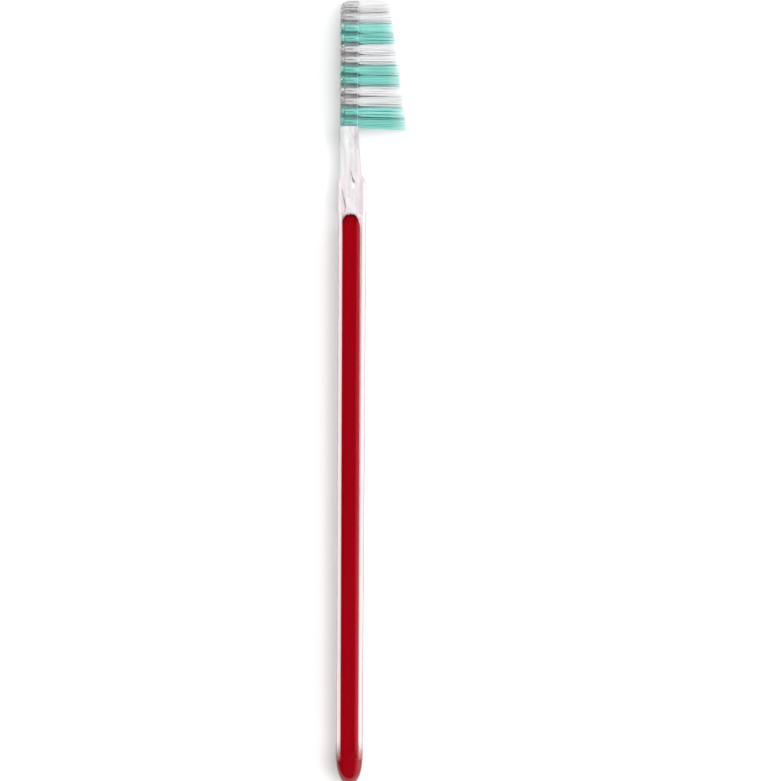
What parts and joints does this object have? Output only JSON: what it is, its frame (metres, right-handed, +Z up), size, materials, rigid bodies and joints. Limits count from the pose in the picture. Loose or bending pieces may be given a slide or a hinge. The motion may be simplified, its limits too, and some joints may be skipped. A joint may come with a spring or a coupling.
{
  "type": "manual toothbrush",
  "caption": "Slim manual toothbrush: clear body over an opaque red core, rounded head with white and green tufts trimmed on a slant, lying on one flat side of its grip.",
  "frame": {"origin": "middle of the outline on the surface that the brush lies on", "axes": "+Y from the butt towards the head, +X the way the bristles point, +Z up, across the width of the grip, whose flat side it lies on"},
  "size_m": [0.0164, 0.188, 0.0124],
  "materials": {
    "clear_plastic": "polished",
    "red_plastic": "gloss",
    "white_bristle": "satin",
    "green_bristle": "satin",
    "anchor_metal": "satin"
  },
  "bodies": {
    "root": {"clear_handle": "clear_plastic", "red_core": "red_plastic", "tuft_01_a": "white_bristle", "tuft_01_b": "white_bristle", "tuft_02_a": "white_bristle", "tuft_02_b": "white_bristle", "tuft_02_c": "white_bristle", "tuft_03_a": "green_bristle", "tuft_03_b": "green_bristle", "tuft_03_c": "green_bristle", "tuft_03_d": "green_bristle", "tuft_04_a": "green_bristle", "tuft_04_b": "green_bristle", "tuft_04_c": "green_bristle", "tuft_04_d": "green_bristle", "tuft_05_a": "white_bristle", "tuft_05_b": "white_bristle", "tuft_05_c": "white_bristle", "tuft_05_d": "white_bristle", "tuft_06_a": "white_bristle", "tuft_06_b": "white_bristle", "tuft_06_c": "white_bristle", "tuft_06_d": "white_bristle", "tuft_07_a": "green_bristle", "tuft_07_b": "green_bristle", "tuft_07_c": "green_bristle", "tuft_07_d": "green_bristle", "tuft_08_a": "green_bristle", "tuft_08_b": "green_bristle", "tuft_08_c": "green_bristle", "tuft_08_d": "green_bristle", "tuft_09_a": "white_bristle", "tuft_09_b": "white_bristle", "tuft_09_c": "white_bristle", "tuft_09_d": "white_bristle", "tuft_10_a": "white_bristle", "tuft_10_b": "white_bristle", "tuft_10_c": "white_bristle", "tuft_10_d": "white_bristle", "tuft_11_a": "green_bristle", "tuft_11_b": "green_bristle", "tuft_11_c": "green_bristle", "tuft_11_d": "green_bristle", "tuft_12_a": "green_bristle", "tuft_12_b": "green_bristle", "tuft_12_c": "green_bristle", "anchors_row_01": "anchor_metal", "anchors_row_02": "anchor_metal", "anchors_row_03": "anchor_metal", "anchors_row_04": "anchor_metal", "anchors_row_05": "anchor_metal", "anchors_row_06": "anchor_metal", "anchors_row_07": "anchor_metal", "anchors_row_08": "anchor_metal", "anchors_row_09": "anchor_metal", "anchors_row_10": "anchor_metal", "anchors_row_11": "anchor_metal", "anchors_row_12": "anchor_metal"}
  },
  "joints": []
}
